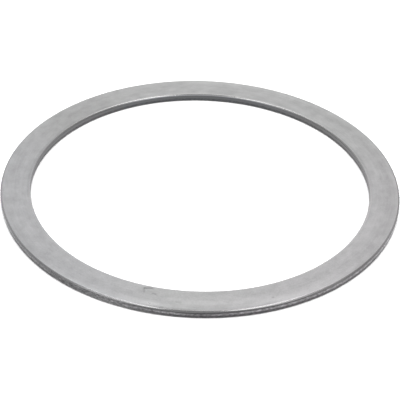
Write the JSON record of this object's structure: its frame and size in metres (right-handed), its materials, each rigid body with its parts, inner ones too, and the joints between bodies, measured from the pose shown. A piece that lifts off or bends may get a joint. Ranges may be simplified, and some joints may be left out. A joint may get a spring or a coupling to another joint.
{
  "type": "shim ring",
  "caption": "Flat steel shim ring with a wide open bore, blanked from sheet: drawn-in upper edges, burnished and torn walls.",
  "frame": {"origin": "centre of the underside, on the ring's axis", "axes": "+Z along the ring's axis, from the underside up to the face with the drawn-in edges; X and Y lie in the underside"},
  "size_m": [0.1, 0.1, 0.0021],
  "materials": {
    "steel": "matte tumbled sheet steel, neutral grey, with darker sheared walls"
  },
  "bodies": {
    "root": {"shim_ring": "steel"}
  },
  "joints": []
}
